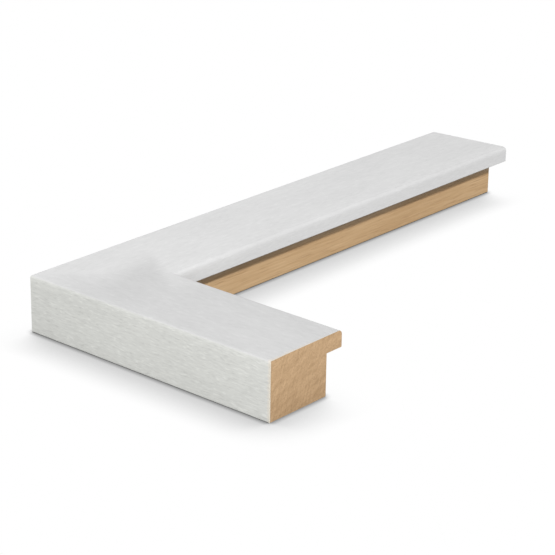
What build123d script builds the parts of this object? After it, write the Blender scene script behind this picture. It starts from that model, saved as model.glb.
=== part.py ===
from build123d import *
import os

# Corner sample of flat picture frame moulding: a long and a short leg, mitred, glued and held by V-nails.
# It lies on its back with the painted front up. The origin is below the middle of the corner's bounding
# box, on the back. The long leg runs along X at the far side, and the short leg runs towards -Y at the left.
# All sizes are in millimetres.

# Section of the moulding
face_width = 30.0           # outer side to sight edge
moulding_height = 18.0      # back to painted front
lip_thickness = 5.2         # painted front to rebate seat
rebate_width = 6.4          # rebate wall to sight edge
sight_edge_radius = 1.5     # round-over along the sight edge
outer_edge_radius = 0.8     # arris between the front and the outer side
back_edge_radius = 0.3      # eased edges that the moulding lies on
lip_arris_radius = 0.15     # lower edge of the sight lip

# Legs, each measured from the tip of the mitre to its furthest point
long_leg_length = 197.8
short_leg_length = 92.5
long_end_skew = 6.0         # degrees that the long leg's end is out of square, longest at the sight edge

# V-nails, driven across the mitre from the back
nail_sheet = 0.6            # thickness of the steel
nail_wing = 5.5             # length of each wing, from the point of the V
nail_bend_radius = 0.8      # bend at the point, at the middle of the sheet
nail_height = 10.0          # along the drive
nail_set = 0.4              # depth of the driven edge below the back
first_nail_inset = 7.0      # point of the outer nail, from each outer side
nail_spacing = 8.5          # outer nail to inner nail, from each outer side

# Tip of the mitre: the corner where both outer sides meet, at the back
corner = Vector(-long_leg_length / 2, short_leg_length / 2, 0)
mitre_plane = Plane(origin=corner, z_dir=(1, 1, 0))

# The long leg's saw cut, through the end of its sight edge
long_end_point = corner + Vector(long_leg_length, -face_width, 0)
long_end_plane = Plane(origin=long_end_point, z_dir=Vector(1, 0, 0).rotate(Axis.Z, long_end_skew))


def moulding_section():
    # Local X runs from the outer side to the sight edge, and local Y from the back to the front
    rebate_wall = face_width - rebate_width
    rebate_seat = moulding_height - lip_thickness
    outline = Polyline(
        (0, 0),
        (0, moulding_height),
        (face_width, moulding_height),
        (face_width, rebate_seat),
        (rebate_wall, rebate_seat),
        (rebate_wall, 0),
        close=True,
    )
    eased_edges = [
        ((0, 0), back_edge_radius),
        ((rebate_wall, 0), back_edge_radius),
        ((0, moulding_height), outer_edge_radius),
        ((face_width, moulding_height), sight_edge_radius),
        ((face_width, rebate_seat), lip_arris_radius),
    ]
    section = make_face(outline)
    for place, radius in eased_edges:
        edge_point = section.vertices().sort_by_distance(place)[0]
        section = fillet(edge_point, radius)
    return section


def moulding_leg(start, across, along, length):
    # A straight length of moulding: across points from its outer side to its sight edge
    end_plane = Plane(origin=start, x_dir=across, z_dir=along)
    return extrude(end_plane * moulding_section(), amount=length)


def nail_strip(inset, height):
    # The V of one nail, with a wing along each leg, standing on the plane of the back
    point = corner + Vector(inset, -inset, 0)
    long_wing_tip = point + Vector(nail_wing, 0, 0)
    short_wing_tip = point + Vector(0, -nail_wing, 0)
    bent_line = FilletPolyline(long_wing_tip, point, short_wing_tip, radius=nail_bend_radius)
    return extrude(trace(bent_line, line_width=nail_sheet), amount=height, dir=(0, 0, 1))


def v_nail(inset):
    return Pos(0, 0, nail_set) * nail_strip(inset, nail_height)


def nail_slot(inset):
    # The cut that a driven nail leaves, open at the back
    return nail_strip(inset, nail_set + nail_height)


nail_insets = {"v_nail_outer": first_nail_inset, "v_nail_inner": first_nail_inset + nail_spacing}

# The long leg is drawn from its far end back to the mitre, and the short leg from the mitre forwards
blank_end = corner + Vector(long_leg_length, 0, 0)
long_blank = moulding_leg(blank_end, (0, -1, 0), (-1, 0, 0), long_leg_length)
short_blank = moulding_leg(corner, (1, 0, 0), (0, -1, 0), short_leg_length)
long_leg = split(long_blank, bisect_by=mitre_plane, keep=Keep.TOP)
long_leg = split(long_leg, bisect_by=long_end_plane, keep=Keep.BOTTOM)
short_leg = split(short_blank, bisect_by=mitre_plane, keep=Keep.BOTTOM)

pieces = {}
for name, inset in nail_insets.items():
    long_leg -= nail_slot(inset)
    short_leg -= nail_slot(inset)
    pieces[name] = v_nail(inset)
pieces["long_leg"] = long_leg
pieces["short_leg"] = short_leg

os.makedirs("parts", exist_ok=True)
for name, piece in pieces.items():
    export_step(piece, f"parts/{name}.step")
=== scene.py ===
import math

import bmesh
import bpy
from mathutils import Matrix, Vector, noise


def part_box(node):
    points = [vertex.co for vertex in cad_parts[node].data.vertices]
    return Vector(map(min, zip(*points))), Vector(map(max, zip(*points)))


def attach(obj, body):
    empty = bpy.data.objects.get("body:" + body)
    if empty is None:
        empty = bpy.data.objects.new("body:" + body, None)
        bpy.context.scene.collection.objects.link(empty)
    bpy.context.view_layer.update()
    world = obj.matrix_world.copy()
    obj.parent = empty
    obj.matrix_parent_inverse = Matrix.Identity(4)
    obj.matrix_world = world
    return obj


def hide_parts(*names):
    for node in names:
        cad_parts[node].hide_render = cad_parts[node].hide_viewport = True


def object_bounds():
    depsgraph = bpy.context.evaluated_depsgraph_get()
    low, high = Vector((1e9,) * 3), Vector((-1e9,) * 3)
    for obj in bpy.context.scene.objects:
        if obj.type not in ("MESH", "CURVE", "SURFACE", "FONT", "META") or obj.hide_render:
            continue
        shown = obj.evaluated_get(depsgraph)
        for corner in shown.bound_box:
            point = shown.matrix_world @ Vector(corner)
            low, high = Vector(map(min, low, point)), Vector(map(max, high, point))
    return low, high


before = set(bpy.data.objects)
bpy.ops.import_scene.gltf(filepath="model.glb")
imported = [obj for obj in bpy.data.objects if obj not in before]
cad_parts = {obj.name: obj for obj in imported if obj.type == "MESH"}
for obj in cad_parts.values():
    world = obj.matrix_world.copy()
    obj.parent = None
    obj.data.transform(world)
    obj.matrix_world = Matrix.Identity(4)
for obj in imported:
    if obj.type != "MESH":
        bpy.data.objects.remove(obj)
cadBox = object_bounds()
nothing = 1e-6  # metres, for telling faces and edges apart
print("frame loaded:", ", ".join(sorted(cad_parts)))


# Sizes of the section in metres. The width, height and lengths come from the CAD boxes
moulding = {
    "lip": 0.0052,     # painted front to rebate seat
    "rebate": 0.0064,  # rebate wall to sight edge
    "sightRound": 0.0015,
    "outerRound": 0.0008,
    "backRound": 0.0003,
    "lipArris": 0.00015,
    "spare": 0.001,    # length that the saw takes off at each end
    "coat": 0.00045,   # thickness of the coating where the saw went through it
}
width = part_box("short_leg")[1].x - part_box("short_leg")[0].x
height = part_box("short_leg")[1].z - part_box("short_leg")[0].z
seat = height - moulding["lip"]
wall = width - moulding["rebate"]
mitreTip = Vector((cadBox[0].x, cadBox[1].y, cadBox[0].z))


# Small helpers for node trees
middle = 0.5  # of a noise or a mask that runs from 0 to 1


def srgb(red, green, blue):
    parts = [value / 255 for value in (red, green, blue)]
    linear = [p / 12.92 if p <= 0.04045 else ((p + 0.055) / 1.055) ** 2.4 for p in parts]
    return (*linear, 1.0)


def put(tree, kind, values=None, **options):
    node = tree.nodes.new(kind)
    for option, value in options.items():
        setattr(node, option, value)
    for socket, value in (values or {}).items():
        if isinstance(value, bpy.types.NodeSocket):
            tree.links.new(value, node.inputs[socket])
        else:
            node.inputs[socket].default_value = value
    return node


def calc(tree, operation, first, second=0.0, third=0.0, clamp=False):
    values = {0: first, 1: second, 2: third}
    return put(tree, "ShaderNodeMath", values, operation=operation, use_clamp=clamp).outputs[0]


def vectorCalc(tree, operation, first, second):
    node = put(tree, "ShaderNodeVectorMath", {0: first, 1: second}, operation=operation)
    return node.outputs["Value" if operation == "DOT_PRODUCT" else "Vector"]


def blendColours(tree, amount, first, second):
    node = put(tree, "ShaderNodeMix", {0: amount, 6: first, 7: second}, data_type="RGBA")
    return node.outputs[2]


def spread(tree, value, low, high, outLow=0.0, outHigh=1.0):
    limits = {"Value": value, "From Min": low, "From Max": high, "To Min": outLow, "To Max": outHigh}
    return put(tree, "ShaderNodeMapRange", limits, interpolation_type="SMOOTHSTEP").outputs[0]


def stretchedNoise(tree, vector, cell, detail=2.0, roughness=0.5):
    sized = vectorCalc(tree, "DIVIDE", vector, cell)
    values = {"Vector": sized, "Scale": 1.0, "Detail": detail, "Roughness": roughness}
    return put(tree, "ShaderNodeTexNoise", values)


def newGroup(name, inputs, outputs):
    group = bpy.data.node_groups.new(name, "ShaderNodeTree")
    for socketName, kind in inputs:
        group.interface.new_socket(socketName, in_out="INPUT", socket_type=kind)
    for socketName, kind in outputs:
        group.interface.new_socket(socketName, in_out="OUTPUT", socket_type=kind)
    return group, group.nodes.new("NodeGroupInput"), group.nodes.new("NodeGroupOutput")


# Grain along X of the vector it is given: soft streaks, and short dark and light flecks, swaying a little
def makeGrainGroup():
    swayCell = (0.007, 0.004, 0.004)
    fleckShare = {"length": 0.45, "pitch": 0.6}  # size of a fleck against a streak
    limits = {"Streaks": (0.25, 0.75), "Pores": (0.55, 0.75), "Lights": (0.45, 0.25)}  # start and full
    sizes = ("Length", "Pitch", "Sway")
    group, given, result = newGroup(
        "lengthwiseGrain",
        [("Vector", "NodeSocketVector"), *[(size, "NodeSocketFloat") for size in sizes]],
        [(output, "NodeSocketFloat") for output in limits],
    )
    vector = given.outputs["Vector"]
    length, pitch, sway = [given.outputs[size] for size in sizes]
    swaying = stretchedNoise(group, vector, swayCell, detail=1.0).outputs["Color"]
    swaying = vectorCalc(group, "SUBTRACT", swaying, [middle] * 3)
    swayed = vectorCalc(group, "ADD", vector, vectorCalc(group, "MULTIPLY", swaying, sway))
    fleckLength = calc(group, "MULTIPLY", length, fleckShare["length"])
    fleckPitch = calc(group, "MULTIPLY", pitch, fleckShare["pitch"])
    streakCell = put(group, "ShaderNodeCombineXYZ", {0: length, 1: pitch, 2: pitch}).outputs[0]
    fleckCell = put(group, "ShaderNodeCombineXYZ", {0: fleckLength, 1: fleckPitch, 2: fleckPitch}).outputs[0]
    streaks = stretchedNoise(group, swayed, streakCell).outputs["Fac"]
    flecks = stretchedNoise(group, swayed, fleckCell, detail=1.0).outputs["Fac"]
    for output, source in (("Streaks", streaks), ("Pores", flecks), ("Lights", flecks)):
        group.links.new(spread(group, source, *limits[output]), result.inputs[output])
    return group


# Slow change of tone over a board, from 0 to 1
def makeBoardToneGroup():
    cloudCell = (0.035, 0.011, 0.011)
    limits = (0.25, 0.75)
    group, given, result = newGroup(
        "boardTone",
        [("Vector", "NodeSocketVector")],
        [("Tone", "NodeSocketFloat")],
    )
    cloud = stretchedNoise(group, given.outputs["Vector"], cloudCell).outputs["Fac"]
    group.links.new(spread(group, cloud, *limits), result.inputs["Tone"])
    return group


grainGroup = makeGrainGroup()
boardToneGroup = makeBoardToneGroup()


# Finishes. Each starts from Object coordinates turned so that X runs along its leg

def newFinish(name, leg):
    material = bpy.data.materials.new(name)
    material.use_nodes = True
    tree = material.node_tree
    shader = tree.nodes["Principled BSDF"]
    place = put(tree, "ShaderNodeTexCoord").outputs["Object"]
    turn = (0, 0, math.radians(leg["turn"]))
    shift = [leg["seed"]] * 3
    turned = put(tree, "ShaderNodeMapping", {"Vector": place, "Rotation": turn, "Location": shift})
    return material, tree, shader, turned.outputs["Vector"]


def addGrain(tree, vector, look):
    node = put(tree, "ShaderNodeGroup", node_tree=grainGroup)
    tree.links.new(vector, node.inputs["Vector"])
    for socket in ("Length", "Pitch", "Sway"):
        node.inputs[socket].default_value = look[socket.lower()]
    return node.outputs["Streaks"], node.outputs["Pores"], node.outputs["Lights"]


def addBoardTone(tree, vector):
    node = put(tree, "ShaderNodeGroup", node_tree=boardToneGroup)
    tree.links.new(vector, node.inputs["Vector"])
    return node.outputs["Tone"]


# Streaks and pores lie lower than the rest
def grainLift(tree, streaks, pores, look):
    lift = calc(tree, "MULTIPLY", streaks, -look["streakSink"])
    return calc(tree, "MULTIPLY_ADD", pores, -look["poreSink"], lift)


def addBump(tree, shader, lift, look):
    values = {"Height": lift, "Distance": look["bumpDepth"], "Strength": look["bumpStrength"]}
    bump = put(tree, "ShaderNodeBump", values)
    tree.links.new(bump.outputs["Normal"], shader.inputs["Normal"])


# How far a point lies along the leg, in from its outer side, and up from its back
def placeInLeg(tree, leg):
    place = put(tree, "ShaderNodeTexCoord").outputs["Object"]
    fromTip = vectorCalc(tree, "SUBTRACT", place, mitreTip)
    ways = [(*leg["along"], 0), (*leg["across"], 0), (0, 0, 1)]
    return [vectorCalc(tree, "DOT_PRODUCT", fromTip, way) for way in ways]


# The painted surfaces. End is the plane of the leg's saw cut, where the coating may be rubbed thin
def paintedFinish(name, leg, end):
    look = {
        "side": {"length": 0.0048, "pitch": 0.00062, "sway": 0.0011},  # grain of the sides
        "front": {"length": 0.0055, "pitch": 0.0016, "sway": 0.0012},  # and of the front
        "upward": (0.3, 0.9),                                          # how far up a side and a front look
        "streaks": 0.2, "pores": 0.26, "lights": 0.3, "cloud": 0.12,   # how much each shows
        "frontGrain": 0.36, "lipGrain": 0.45,                          # share of the grain left there
        "rub": srgb(226, 212, 190), "rubWidth": (0.0003, 0.001), "rubFray": 0.0006,
        "rubRun": (0.006, 0.026),                                      # how far it goes in over the front
        "roughness": (0.62, 0.74), "ior": 1.46,
        "streakSink": 0.35, "poreSink": 0.8, "bumpDepth": 0.00004, "bumpStrength": 0.35,
    }
    tone = leg["tone"]
    material, tree, shader, vector = newFinish(name, leg)
    cloud = addBoardTone(tree, vector)
    facing = put(tree, "ShaderNodeNewGeometry").outputs["Normal"]
    upward = put(tree, "ShaderNodeSeparateXYZ", {0: facing}).outputs["Z"]
    onFront = spread(tree, upward, *look["upward"])
    pairs = zip(addGrain(tree, vector, look["side"]), addGrain(tree, vector, look["front"]))
    streaks, pores, lights = [put(tree, "ShaderNodeMix", {0: onFront, 2: side, 3: front}).outputs[0]
                              for side, front in pairs]
    inset = placeInLeg(tree, leg)[1]
    outerThird, lipThird = width / 3, width * 2 / 3
    onSide = spread(tree, inset, outerThird, lipThird, 1.0, look["lipGrain"])
    shown = spread(tree, upward, *look["upward"], onSide, look["frontGrain"])
    grain = calc(tree, "MULTIPLY", calc(tree, "SUBTRACT", streaks, middle), look["streaks"])
    grain = calc(tree, "MULTIPLY_ADD", pores, look["pores"], grain)
    grain = calc(tree, "MULTIPLY_ADD", lights, -look["lights"], grain)
    dark = calc(tree, "MULTIPLY_ADD", grain, shown, middle)
    dark = calc(tree, "MULTIPLY_ADD", calc(tree, "SUBTRACT", cloud, middle), look["cloud"], dark)
    # Painted sheen, shade and highlight, as marked on the mesh
    shift = put(tree, "ShaderNodeAttribute", attribute_name="paintedShading").outputs["Fac"]
    dark = calc(tree, "ADD", dark, shift, clamp=True)
    colour = blendColours(tree, dark, tone["light"], tone["dark"])
    # Faces that look sideways are multiplied by the sides' colour: painted shade, a little darker than the
    # front, with a slight tint on the short leg
    sideways = spread(tree, upward, *look["upward"], 1.0, 0.0)
    colour = put(tree, "ShaderNodeMix", {0: sideways, 6: colour, 7: tone["sides"]},
                 data_type="RGBA", blend_type="MULTIPLY").outputs[2]
    if tone["rub"] > 0:
        point, normal = end
        place = put(tree, "ShaderNodeTexCoord").outputs["Object"]
        left = vectorCalc(tree, "DOT_PRODUCT", vectorCalc(tree, "SUBTRACT", point, place), normal)
        left = calc(tree, "MULTIPLY_ADD", calc(tree, "SUBTRACT", streaks, middle), look["rubFray"], left)
        rubbed = spread(tree, left, *look["rubWidth"], tone["rub"], 0.0)
        rubbed = calc(tree, "MULTIPLY", rubbed, spread(tree, inset, *look["rubRun"], 1.0, 0.0))
        colour = blendColours(tree, rubbed, colour, look["rub"])
    tree.links.new(colour, shader.inputs["Base Color"])
    tree.links.new(spread(tree, streaks, 0.0, 1.0, *look["roughness"]), shader.inputs["Roughness"])
    shader.inputs["IOR"].default_value = look["ior"]
    addBump(tree, shader, grainLift(tree, streaks, pores, look), look)
    return material


def bareWood(name, leg):
    look = {
        "light": srgb(218, 185, 142), "dark": srgb(198, 163, 120), "pore": srgb(164, 126, 90),
        "length": 0.022, "pitch": 0.0007, "sway": 0.0006,
        "cloud": 0.4, "streaks": 0.5, "lights": 0.3, "pores": 0.4,  # how much each shows
        # Painted shade: darker up into the rebate, under the lip
        "seatShade": 0.2, "seatShadeReach": 0.008,                      # darker up into the rebate
        # Painted shade: darker away from the mitre
        "farShade": 0.35, "farReach": (0.03, 0.13),                # and away from the mitre
        # Painted shade: greyer and darker just under the seat, where the lip shades the wall
        "shadowGrey": srgb(180, 166, 146), "shadowGreyShare": 0.55, "shadowGreyReach": (0.006, 0.003),  # greyer below the seat
        "roughness": (0.62, 0.78),
        "streakSink": 0.4, "poreSink": 1.0, "bumpDepth": 0.00005, "bumpStrength": 0.4,
    }
    material, tree, shader, vector = newFinish(name, leg)
    streaks, pores, lights = addGrain(tree, vector, look)
    cloud = addBoardTone(tree, vector)
    along, _, up = placeInLeg(tree, leg)
    # Painted shade in the rebate: darker towards the seat and away from the mitre
    shadeNearSeat = spread(tree, up, seat - look["seatShadeReach"], seat, 0.0, look["seatShade"])
    farOff = spread(tree, along, *look["farReach"], 0.0, look["farShade"])
    dark = calc(tree, "MULTIPLY", streaks, look["streaks"])
    dark = calc(tree, "MULTIPLY_ADD", cloud, look["cloud"], dark)
    dark = calc(tree, "ADD", calc(tree, "ADD", dark, shadeNearSeat), farOff)
    dark = calc(tree, "MULTIPLY_ADD", lights, -look["lights"], dark, clamp=True)
    colour = blendColours(tree, dark, look["light"], look["dark"])
    colour = blendColours(tree, calc(tree, "MULTIPLY", pores, look["pores"]), colour, look["pore"])
    # Painted shade: greyer just under the seat, where the lip shades the wall
    greyFrom, greyFull = [seat - reach for reach in look["shadowGreyReach"]]
    shadowGreyShare = spread(tree, up, greyFrom, greyFull, 0.0, look["shadowGreyShare"])
    colour = blendColours(tree, shadowGreyShare, colour, look["shadowGrey"])
    tree.links.new(colour, shader.inputs["Base Color"])
    tree.links.new(spread(tree, streaks, 0.0, 1.0, *look["roughness"]), shader.inputs["Roughness"])
    addBump(tree, shader, grainLift(tree, streaks, pores, look), look)
    return material


# A sawn end: end grain, and a frayed rim of coating at the outer side and the front
def sawnEnd(name, leg):
    look = {
        "light": srgb(211, 177, 137), "dark": srgb(174, 142, 105), "pore": srgb(148, 115, 82),
        # The last share on the next line is painted shade, darker towards the back
        "rings": 0.4, "rays": 0.3, "pores": 0.4, "backShade": 0.4,  # how much each shows
        "ringTilt": 72.0, "ringCell": (0.02, 0.0013, 0.006),
        "rayTilt": 20.0, "rayCell": (0.02, 0.0009, 0.004),
        "lineDetail": 2.5, "lineLimits": (0.28, 0.72),               # of rings and rays
        "poreCell": (0.0006, 0.00045, 0.00045), "poreDetail": 2.0, "poreLimits": (0.5, 0.72),
        "harshness": 0.6,                                            # of the fine detail in all three
        "coat": srgb(230, 224, 211), "chalk": srgb(224, 210, 189), "coatEnds": (0.85, 1.15), "fray": 0.0003,
        "seam": srgb(160, 130, 98), "seamWidth": 0.0003, "seamShows": 0.7,
        "frontThin": (2.5, 9.0), "frontRun": 0.014,                  # how the rim thins along the front
        "roughness": (0.72, 0.85), "poreSink": 0.8, "bumpDepth": 0.00008, "bumpStrength": 0.5,
    }
    material, tree, shader, vector = newFinish(name, leg)

    def tilted(angle, cell):
        turned = {"Vector": vector, "Rotation": (math.radians(angle), 0, 0)}
        place = put(tree, "ShaderNodeMapping", turned).outputs["Vector"]
        lines = stretchedNoise(tree, place, cell, look["lineDetail"], look["harshness"]).outputs["Fac"]
        return spread(tree, lines, *look["lineLimits"])

    rings = tilted(look["ringTilt"], look["ringCell"])
    rays = tilted(look["rayTilt"], look["rayCell"])
    speckNoise = stretchedNoise(tree, vector, look["poreCell"], look["poreDetail"], look["harshness"])
    specks = speckNoise.outputs["Fac"]
    pores = spread(tree, specks, *look["poreLimits"])

    # How deep the point lies under the outer side and the front
    _, inset, up = placeInLeg(tree, leg)
    thinner = spread(tree, inset, 0.0, look["frontRun"], *look["frontThin"])
    below = calc(tree, "MULTIPLY", calc(tree, "SUBTRACT", height, up), thinner)
    depth = calc(tree, "MINIMUM", inset, below)
    depth = calc(tree, "MULTIPLY_ADD", calc(tree, "SUBTRACT", specks, middle), look["fray"], depth)
    thick = moulding["coat"]
    coat = spread(tree, depth, *[thick * share for share in look["coatEnds"]], 1.0, 0.0)
    seam = spread(tree, depth, thick, thick + look["seamWidth"], look["seamShows"], 0.0)

    dark = calc(tree, "MULTIPLY_ADD", rings, look["rings"], calc(tree, "MULTIPLY", rays, look["rays"]))
    # Painted shade: the end darker towards the back, where the floor shades it
    dark = calc(tree, "ADD", dark, spread(tree, up, 0.0, height, look["backShade"], 0.0), clamp=True)
    wood = blendColours(tree, dark, look["light"], look["dark"])
    wood = blendColours(tree, calc(tree, "MULTIPLY", pores, look["pores"]), wood, look["pore"])
    wood = blendColours(tree, seam, wood, look["seam"])
    chalky = blendColours(tree, spread(tree, depth, 0.0, thick), look["coat"], look["chalk"])
    tree.links.new(blendColours(tree, coat, wood, chalky), shader.inputs["Base Color"])
    tree.links.new(spread(tree, rings, 0.0, 1.0, *look["roughness"]), shader.inputs["Roughness"])
    addBump(tree, shader, calc(tree, "MULTIPLY_ADD", pores, -look["poreSink"], rays), look)
    return material


def nailSteel():
    look = {
        "light": srgb(196, 197, 200), "dark": srgb(150, 151, 156),
        "length": 0.004, "pitch": 0.00012, "sway": 0.0,
        "roughness": (0.28, 0.42), "bumpDepth": 0.00001, "bumpStrength": 0.3,
    }
    material, tree, shader, vector = newFinish("nailSteel", {"turn": 0, "seed": 0.0})
    streaks, pits, shine = addGrain(tree, vector, look)
    tree.links.new(blendColours(tree, streaks, look["light"], look["dark"]), shader.inputs["Base Color"])
    tree.links.new(spread(tree, streaks, 0.0, 1.0, *look["roughness"]), shader.inputs["Roughness"])
    shader.inputs["Metallic"].default_value = 1.0
    addBump(tree, shader, calc(tree, "SUBTRACT", shine, pits), look)
    return material


# Legs: how finely they are cut, the grain pressed into them, and the tones at the mitre and the edges, which
# are painted sheen, painted shade and a painted highlight
segments = {"sightRound": 10, "outerRound": 6, "backRound": 6, "lipArris": 3}
steps = {"along": 0.0012, "across": 0.0002, "wall": 0.0004}
relief = {
    "streakCell": (0.007, 0.0006, 0.0006), "streakDepth": 0.000006,
    "poreCell": (0.004, 0.0004, 0.0004), "poreDepth": 0.000015, "poreLimits": (0.2, 0.55),
    "swayCell": (0.008, 0.004, 0.004), "sway": 0.0004,
    "woodDepth": 0.00001,
}
# Painted sheen at the mitre: where the short leg's tone runs over onto the long leg, and back
sheenSmear = {
    "reach": (-0.007, 0.0105),                          # least and most run of the short leg's tone
    "peak": 0.0245, "outward": 0.012, "inward": 0.005,  # where the peak is, and its spread to both sides
    "fade": 0.019, "depth": 0.003,                      # softness over the front, and down the sides
    "waverCell": 0.004, "waver": 0.002,                 # how unsteady the change is
}
# Painted shade on the rounded edges, dimming the lamp's highlight there
arris = {"sidePower": 0.35, "frontPower": 0.6, "peak": 0.73}  # how an edge's tone fades into both flats
# Painted highlight: how far the paler tone under the outer arris runs down the side
shoulderHighlightReach = 0.003                                         # of the paler tone down the outer side
sharpFrom, straightDown = math.radians(35), -0.999            # for sharp edges and flat faces
mainly, slightly = 0.5, 0.05                                  # how much of a normal points one way
paint, bare, ends = range(3)                                  # material slots of a leg
nails = ("v_nail_outer", "v_nail_inner")


def isVert(item):
    return isinstance(item, bmesh.types.BMVert)


def isEdge(item):
    return isinstance(item, bmesh.types.BMEdge)


# A length of the section along X, a little longer than the leg at both ends
def pushSection(length):
    section = [(0, 0), (0, height), (width, height), (width, seat), (wall, seat), (wall, 0)]
    rounds = [
        ((0, height), "outerRound"),
        ((width, height), "sightRound"),
        ((width, seat), "lipArris"),
        ((0, 0), "backRound"),
        ((wall, 0), "backRound"),
    ]
    spare = moulding["spare"]
    bm = bmesh.new()
    outline = bm.faces.new([bm.verts.new((-spare, across, up)) for across, up in section])
    pushed = bmesh.ops.extrude_face_region(bm, geom=[outline])["geom"]
    bmesh.ops.translate(bm, vec=(length + 2 * spare, 0, 0), verts=list(filter(isVert, pushed)))
    for (across, up), kind in rounds:
        edges = [e for e in bm.edges
                 if all(abs(v.co.y - across) < nothing and abs(v.co.z - up) < nothing for v in e.verts)]
        bmesh.ops.bevel(bm, geom=edges, offset=moulding[kind], segments=segments[kind],
                        profile=0.5, affect="EDGES", material=-1)
    return bm


# Takes off what lies on the side that the normal points to, and closes the cut
def sawOff(bm, point, normal):
    everything = bm.verts[:] + bm.edges[:] + bm.faces[:]
    cut = bmesh.ops.bisect_plane(bm, geom=everything, plane_co=point, plane_no=normal, clear_outer=True)
    bmesh.ops.edgeloop_fill(bm, edges=list(filter(isEdge, cut["geom_cut"])))
    bmesh.ops.recalc_face_normals(bm, faces=bm.faces[:])


# Painted: the front, the outer side and the lip. Bare: the rebate and the back. Ends: the cuts at both ends
def nameSurfaces(bm):
    for face in bm.faces:
        facing = face.normal
        onLip = face.calc_center_median().z > seat + nothing
        if abs(facing.x) > mainly:
            face.material_index = ends
        elif facing.y < -slightly or facing.z > slightly or (facing.y > slightly and onLip):
            face.material_index = paint
        else:
            face.material_index = bare


# The slots that the nails stand in, cut with the nails' own shapes drawn out past the back
def cutNailSlots(mesh, place):
    past = -0.001
    body = bpy.data.objects.new("slotting", mesh)
    bpy.context.scene.collection.objects.link(body)
    cutters = []
    for nail in nails:
        bm = bmesh.new()
        bm.from_mesh(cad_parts[nail].data)
        bmesh.ops.remove_doubles(bm, verts=bm.verts[:], dist=nothing)
        low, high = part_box(nail)
        for vert in bm.verts:
            if vert.co.z < (low.z + high.z) / 2:
                vert.co.z = past
        bmesh.ops.transform(bm, matrix=place.inverted(), verts=bm.verts[:])
        bmesh.ops.recalc_face_normals(bm, faces=bm.faces[:])
        for face in bm.faces:
            face.material_index = bare
        cutterMesh = bpy.data.meshes.new("cutter")
        bm.to_mesh(cutterMesh)
        bm.free()
        for material in mesh.materials:
            cutterMesh.materials.append(material)
        cutter = bpy.data.objects.new("cutter", cutterMesh)
        bpy.context.scene.collection.objects.link(cutter)
        cutters.append(cutter)
        slotting = body.modifiers.new(nail, "BOOLEAN")
        slotting.operation = "DIFFERENCE"
        slotting.solver = "EXACT"
        slotting.object = cutter
    seen = body.evaluated_get(bpy.context.evaluated_depsgraph_get())
    slotted = bpy.data.meshes.new_from_object(seen)
    for spent in [body, *cutters]:
        bpy.data.objects.remove(spent)
    return slotted


# Cuts the flats into strips along the leg and across it, fine enough to carry the grain
def refineFlats(bm, length):
    def split(edges, size, step):
        bmesh.ops.subdivide_edges(bm, edges=edges, cuts=round(size / step),
                                  use_grid_fill=True, use_only_quads=True)

    def splitFlat(axis, value, span, size, step):
        edges = [e for e in bm.edges
                 if all(abs(v.co[axis] - value) < nothing for v in e.verts)
                 and abs(e.verts[0].co[span] - e.verts[1].co[span]) > size / 2]
        split(edges, size, step)

    lengthwise = [e for e in bm.edges
                  if abs(e.verts[0].co.x - e.verts[1].co.x) > length / 2
                  and any(f.material_index == paint or f.normal.y > mainly for f in e.link_faces)]
    split(lengthwise, length, steps["along"])
    across, up = 1, 2  # axes of the leg
    splitFlat(up, height, across, width, steps["across"])
    splitFlat(across, 0, up, height, steps["across"])
    splitFlat(across, width, up, moulding["lip"], steps["across"])
    splitFlat(across, wall, up, seat, steps["wall"])


# How deep the grain lies under the surface at a point of the leg
def grainDepth(point, seed, painted):
    def level(where, cell):
        return noise.noise(Vector((where.x / cell[0] + seed, where.y / cell[1], where.z / cell[2])))

    push = level(point, relief["swayCell"]) * relief["sway"]
    swayed = point + Vector((0, push, push))
    streak = (level(swayed, relief["streakCell"]) + 1) / 2
    if not painted:
        return streak * relief["woodDepth"]
    poreFrom, poreFull = relief["poreLimits"]
    pore = (level(swayed, relief["poreCell"]) - poreFrom) / (poreFull - poreFrom)
    return streak * relief["streakDepth"] + min(max(pore, 0), 1) * relief["poreDepth"]


def pressGrain(bm, seed):
    bm.normal_update()
    sunk = []
    for vert in bm.verts:
        kinds = {face.material_index for face in vert.link_faces}
        if ends in kinds or vert.co.z < nothing:
            continue
        sunk.append((vert, vert.normal * grainDepth(vert.co, seed, paint in kinds)))
    for vert, step in sunk:
        vert.co -= step


# How far a point is round an edge: sideways 1 on the side, and upwards 1 on the front
def roundAt(inset, up, radius):
    sideways = max(1 - inset / radius, 0)
    upwards = max(1 - (height - up) / radius, 0)
    return sideways, upwards


# Share of the painted shade on a rounded edge, which dims the lamp's highlight there: about 1 over most of
# its round, and 0 on the flats
def arrisShadeAt(inset, up, radius):
    sideways, upwards = roundAt(inset, up, radius)
    return sideways ** arris["sidePower"] * upwards ** arris["frontPower"] / arris["peak"]


# Share of the painted highlight, a paler tone on the outer side just under its arris
def shoulderHighlightAt(across, up):
    radius = moulding["outerRound"]
    sideways = roundAt(across, up, radius)[0]
    drop = max(height - radius - up, 0)
    return sideways * max(1 - drop / shoulderHighlightReach, 0)


# Share of the other leg's tone, a painted sheen that runs softly over the mitre. Side is 1 on the long leg
# and -1 on the short one
def jointSheenAt(along, across, up, side):
    least, most = sheenSmear["reach"]
    inwards = (along + across) / 2 - sheenSmear["peak"]
    offPeak = min(abs(inwards) / sheenSmear["inward" if inwards > 0 else "outward"], 1)
    reach = least + (most - least) * (1 + math.cos(math.pi * offPeak)) / 2
    off = side * (along - across) / math.sqrt(2)
    spot = Vector((off, along + across, 0)) / sheenSmear["waverCell"]
    past = off - reach + noise.noise(spot) * sheenSmear["waver"]
    shortShare = min(max(middle - past / sheenSmear["fade"], 0), 1)
    onFront = max(1 - (height - up) / sheenSmear["depth"], 0)
    return onFront * (shortShare if side > 0 else 1 - shortShare)


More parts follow.
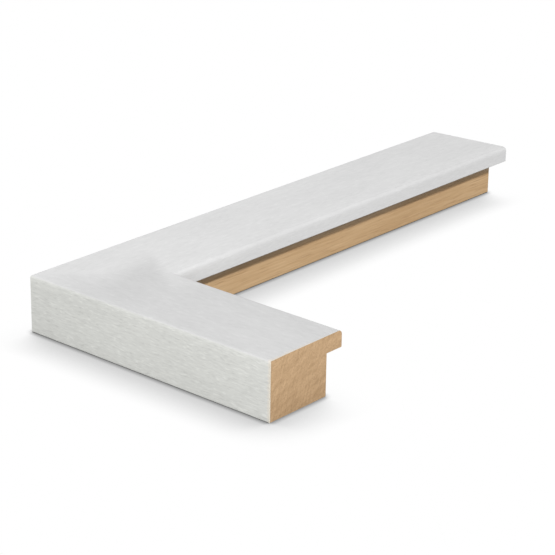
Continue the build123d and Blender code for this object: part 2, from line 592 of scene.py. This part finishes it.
# The float layer made here: how far the paint moves from light to dark at a point, beside its grain. It
# holds painted sheen at the mitre, painted shade on the rounded edges and a painted highlight under the
# outer arris
def markTones(bm, leg):
    tone = leg["tone"]
    layer = bm.verts.layers.float.new("paintedShading")
    for vert in bm.verts:
        along, across, up = vert.co
        # Painted sheen across the mitre, painted shade on the rounded edges, and a painted highlight under
        # the outer arris
        shift = tone["jointSheen"] * jointSheenAt(along, across, up, leg["side"])
        shift += tone["outerArrisShade"] * arrisShadeAt(across, up, moulding["outerRound"])
        shift += tone["sightArrisShade"] * arrisShadeAt(width - across, up, moulding["sightRound"])
        vert[layer] = shift + tone["shoulderHighlight"] * shoulderHighlightAt(across, up)


def buildLeg(node, leg):
    length = max(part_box(node)[1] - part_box(node)[0])
    along, across = leg["along"], leg["across"]
    place = Matrix((
        (along[0], across[0], 0, mitreTip.x),
        (along[1], across[1], 0, mitreTip.y),
        (0, 0, 1, mitreTip.z),
        (0, 0, 0, 1),
    ))
    skew = math.radians(leg["endSkew"])
    endPoint = Vector((length, width, 0))
    endNormal = Vector((math.cos(skew), -math.sin(skew), 0))
    end = (place @ endPoint, place.to_3x3() @ endNormal)
    name = leg["name"]
    bm = pushSection(length)
    sawOff(bm, (0, 0, 0), (-1, 1, 0))  # the mitre
    sawOff(bm, endPoint, endNormal)
    nameSurfaces(bm)
    rough = bpy.data.meshes.new("rough")
    bm.to_mesh(rough)
    bm.free()
    rough.materials.append(paintedFinish(name + "Paint", leg, end))
    rough.materials.append(bareWood(name + "Wood", leg))
    rough.materials.append(sawnEnd(name + "End", leg))
    slotted = cutNailSlots(rough, place)
    bm = bmesh.new()
    bm.from_mesh(slotted)
    refineFlats(bm, length)
    pressGrain(bm, leg["seed"])
    markTones(bm, leg)
    bmesh.ops.transform(bm, matrix=place, verts=bm.verts[:])
    bmesh.ops.recalc_face_normals(bm, faces=bm.faces[:])
    bm.to_mesh(slotted)
    bm.free()
    slotted.name = name
    slotted.set_sharp_from_angle(angle=sharpFrom)
    for face in slotted.polygons:
        face.use_smooth = face.normal.z > straightDown  # not on the back and the seat
    piece = bpy.data.objects.new(name, slotted)
    bpy.context.scene.collection.objects.link(piece)
    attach(piece, "root")
    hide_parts(node)
    slotted.calc_loop_triangles()
    print(name, "built:", len(slotted.loop_triangles), "triangles")


# The short leg's tones are set darker than the long leg's: painted sheen, the same paint catching less light
# with its grain the other way
longLeg = {
    "name": "longLeg", "side": 1, "along": (1, 0), "across": (0, -1),
    "turn": 0, "seed": 2.7, "endSkew": 6.0,
    "tone": {"light": srgb(241, 241, 241), "dark": srgb(204, 204, 204), "sides": srgb(251, 251, 251),
             "jointSheen": 0.4, "outerArrisShade": 0.33, "sightArrisShade": 0.335, "shoulderHighlight": -0.12, "rub": 0.0},
}
shortLeg = {
    "name": "shortLeg", "side": -1, "along": (0, -1), "across": (1, 0),
    "turn": 90, "seed": 6.1, "endSkew": 0.0,
    "tone": {"light": srgb(227, 227, 227), "dark": srgb(188, 188, 188), "sides": srgb(253, 254, 249),
             "jointSheen": -0.38, "outerArrisShade": 0.33, "sightArrisShade": 0.0, "shoulderHighlight": -0.12, "rub": 0.35},
}
buildLeg("long_leg", longLeg)
buildLeg("short_leg", shortLeg)


# Nails: the CAD shapes, in steel
steel = nailSteel()
for nailName in nails:
    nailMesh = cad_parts[nailName].data
    nailMesh.materials.clear()
    nailMesh.materials.append(steel)
print("nails finished")


# Floor: white to the eye and darker where the corner shades it. Other rays meet a duller white
floorLook = {
    "size": 6.0, "bounce": 0.3,
    "shade": 1.12, "falloff": 1.7, "reach": 0.016,  # the soft shade
    "lean": (0.74, 0.621, 0.259),                   # the way towards the light that it keeps off
    "contact": 1.16, "contactReach": 0.0021,        # the dark line where the corner stands on the floor
    "samples": 16,
}


def seenDirectly(tree):
    ray = put(tree, "ShaderNodeLightPath").outputs
    seen = calc(tree, "MAXIMUM", ray["Is Camera Ray"], ray["Is Glossy Ray"])
    return calc(tree, "MAXIMUM", seen, ray["Is Transmission Ray"])


def layFloor():
    bm = bmesh.new()
    bmesh.ops.create_grid(bm, x_segments=1, y_segments=1, size=floorLook["size"] / 2)
    mesh = bpy.data.meshes.new("floor")
    bm.to_mesh(mesh)
    bm.free()
    material = bpy.data.materials.new("floorWhite")
    material.use_nodes = True
    tree = material.node_tree
    tree.nodes.remove(tree.nodes["Principled BSDF"])
    lean = Vector(floorLook["lean"]).normalized()
    leaning = put(tree, "ShaderNodeCombineXYZ", {0: lean.x, 1: lean.y, 2: lean.z}).outputs[0]

    def openness(values):
        return put(tree, "ShaderNodeAmbientOcclusion", values, samples=floorLook["samples"]).outputs["AO"]

    shut = calc(tree, "SUBTRACT", 1.0, openness({"Distance": floorLook["reach"], "Normal": leaning}))
    shade = calc(tree, "POWER", shut, floorLook["falloff"])
    level = calc(tree, "MULTIPLY_ADD", shade, -floorLook["shade"], 1.0)
    foot = openness({"Distance": floorLook["contactReach"]})
    contact = floorLook["contact"]
    line = calc(tree, "MULTIPLY_ADD", foot, contact, 1 - contact, clamp=True)
    level = calc(tree, "MULTIPLY", level, line)
    seen = put(tree, "ShaderNodeEmission", {"Color": level, "Strength": 1.0}).outputs[0]
    dull = calc(tree, "MULTIPLY", level, floorLook["bounce"])
    bounce = put(tree, "ShaderNodeBsdfDiffuse", {"Color": dull}).outputs[0]
    mixed = put(tree, "ShaderNodeMixShader", {0: seenDirectly(tree), 1: bounce, 2: seen}).outputs[0]
    tree.links.new(mixed, tree.nodes["Material Output"].inputs["Surface"])
    mesh.materials.append(material)
    floor = bpy.data.objects.new("floor", mesh)
    bpy.context.scene.collection.objects.link(floor)


layFloor()


# Light: a small key lamp to the right of the camera, a broad one from the left, and an even surround
lamps = {
    "key": {"from": (-0.45, -0.66, 0.6), "distance": 2.0, "size": 0.12, "level": 0.755},
    "side": {"from": (-0.9, -0.22, 0.22), "distance": 0.36, "size": 0.15, "level": 0.176},
}
surroundLevel = 0.475


def hangLamp(name, lamp):
    lampData = bpy.data.lights.new(name, "AREA")
    lampData.shape = "DISK"
    lampData.size = lamp["size"]
    lampData.energy = lamp["level"] * (math.pi * lamp["distance"]) ** 2  # level 1 lights white to white
    lampObject = bpy.data.objects.new(name, lampData)
    towards = Vector(lamp["from"]).normalized()
    lampObject.location = towards * lamp["distance"]
    lampObject.rotation_euler = towards.to_track_quat("Z", "Y").to_euler()
    bpy.context.scene.collection.objects.link(lampObject)


def setSurround():
    world = bpy.data.worlds.new("surround")
    bpy.context.scene.world = world
    world.use_nodes = True
    tree = world.node_tree
    background = tree.nodes["Background"]
    background.inputs["Color"].default_value = (1, 1, 1, 1)
    level = calc(tree, "MULTIPLY_ADD", seenDirectly(tree), 1 - surroundLevel, surroundLevel)
    tree.links.new(level, background.inputs["Strength"])


for lampName, lampSettings in lamps.items():
    hangLamp(lampName, lampSettings)
setSurround()
print("floor and light set")


# Camera, fitted to the corners of the moulding in the photo
camera = {
    "place": (-0.47033, -0.36638, 0.23214), "turn": (68.774, -0.842, -49.106),
    "lens": 131.8, "sensor": 36.0, "clip": 0.01,
}
cameraData = bpy.data.cameras.new("camera")
cameraData.lens = camera["lens"]
cameraData.sensor_width = camera["sensor"]
cameraData.clip_start = camera["clip"]
cameraObject = bpy.data.objects.new("camera", cameraData)
cameraObject.location = camera["place"]
cameraObject.rotation_euler = [math.radians(angle) for angle in camera["turn"]]
bpy.context.scene.collection.objects.link(cameraObject)
bpy.context.scene.camera = cameraObject
bpy.context.scene.view_settings.view_transform = "Standard"
print("camera set")
